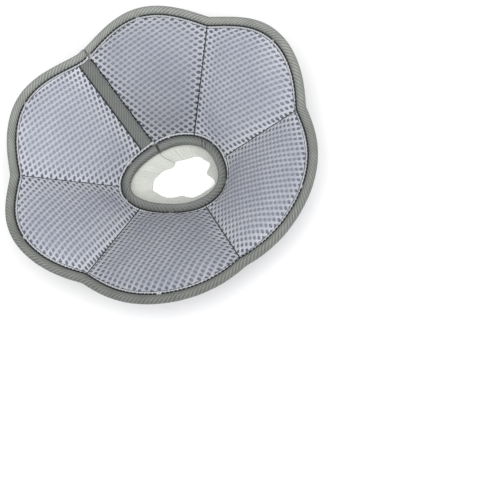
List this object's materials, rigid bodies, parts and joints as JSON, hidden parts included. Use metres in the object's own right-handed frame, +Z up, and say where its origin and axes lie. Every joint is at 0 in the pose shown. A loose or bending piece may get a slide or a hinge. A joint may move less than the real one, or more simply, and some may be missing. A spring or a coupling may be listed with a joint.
{
  "type": "elizabethan collar",
  "caption": "Soft quilted pet recovery collar: mesh petals sewn into a shallow cone, taped rim and neck, gathered neck cuff, lapped hook-and-loop closure with a lifting flap.",
  "frame": {"origin": "middle of the collar on the table, under the neck opening", "axes": "+Z up along the neck opening, away from the table; +Y towards the closure"},
  "size_m": [0.2609, 0.2449, 0.067],
  "materials": {
    "mesh": "open spacer mesh, matt",
    "foam": "soft foam sheet",
    "lining": "smooth woven lining",
    "tape": "ribbed twill tape, matt",
    "cuff": "soft gathered knit, matt",
    "hook": "hook-and-loop tape"
  },
  "bodies": {
    "front_panels": {"mesh_cover_3": "mesh", "foam_pad_3": "foam", "back_lining_3": "lining", "outer_binding_3": "tape", "neck_binding_3": "tape", "cuff_3": "cuff", "mesh_cover_4": "mesh", "foam_pad_4": "foam", "back_lining_4": "lining", "outer_binding_4": "tape", "neck_binding_4": "tape", "cuff_4": "cuff"},
    "panel_2": {"mesh_cover_2": "mesh", "foam_pad_2": "foam", "back_lining_2": "lining", "outer_binding_2": "tape", "neck_binding_2": "tape", "cuff_2": "cuff"},
    "panel_1": {"mesh_cover_1": "mesh", "foam_pad_1": "foam", "back_lining_1": "lining", "outer_binding_1": "tape", "neck_binding_1": "tape", "cuff_1": "cuff", "closure_tab": "lining", "loop_tape": "hook"},
    "panel_5": {"mesh_cover_5": "mesh", "foam_pad_5": "foam", "back_lining_5": "lining", "outer_binding_5": "tape", "neck_binding_5": "tape", "cuff_5": "cuff"},
    "panel_6": {"mesh_cover_6": "mesh", "foam_pad_6": "foam", "back_lining_6": "lining", "outer_binding_6": "tape", "neck_binding_6": "tape", "cuff_6": "cuff", "flap_edge_binding": "tape", "hook_tape": "hook"}
  },
  "joints": [
    {"name": "seam_2_3_down", "type": "hinge", "parent": "front_panels", "child": "panel_2", "pos_m": [0.0321, -0.01712, 0.01242], "axis": [-0.8153, 0.3569, -0.4559], "range_deg": [0, 35], "stiffness_Nm_per_rad": 0.35, "deforming": ["cuff_2", "cuff_3"]},
    {"name": "seam_1_2_down", "type": "hinge", "parent": "panel_2", "child": "panel_1", "pos_m": [0.02748, 0.00909, 0.01241], "axis": [-0.7138, -0.5723, -0.4036], "range_deg": [0, 35], "stiffness_Nm_per_rad": 0.35, "deforming": ["cuff_1", "cuff_2"]},
    {"name": "seam_4_5_up", "type": "hinge", "parent": "front_panels", "child": "panel_5", "pos_m": [-0.03269, -0.0047, 0.01376], "axis": [0.7911, 0.4307, -0.4343], "range_deg": [0, 45], "stiffness_Nm_per_rad": 0.1, "deforming": ["cuff_4", "cuff_5"]},
    {"name": "flap_up", "type": "hinge", "parent": "panel_5", "child": "panel_6", "pos_m": [-0.03349, 0.01414, 0.01376], "axis": [0.7031, -0.5619, -0.4358], "range_deg": [0, 60], "stiffness_Nm_per_rad": 0.1, "deforming": ["cuff_5", "cuff_6"]}
  ]
}
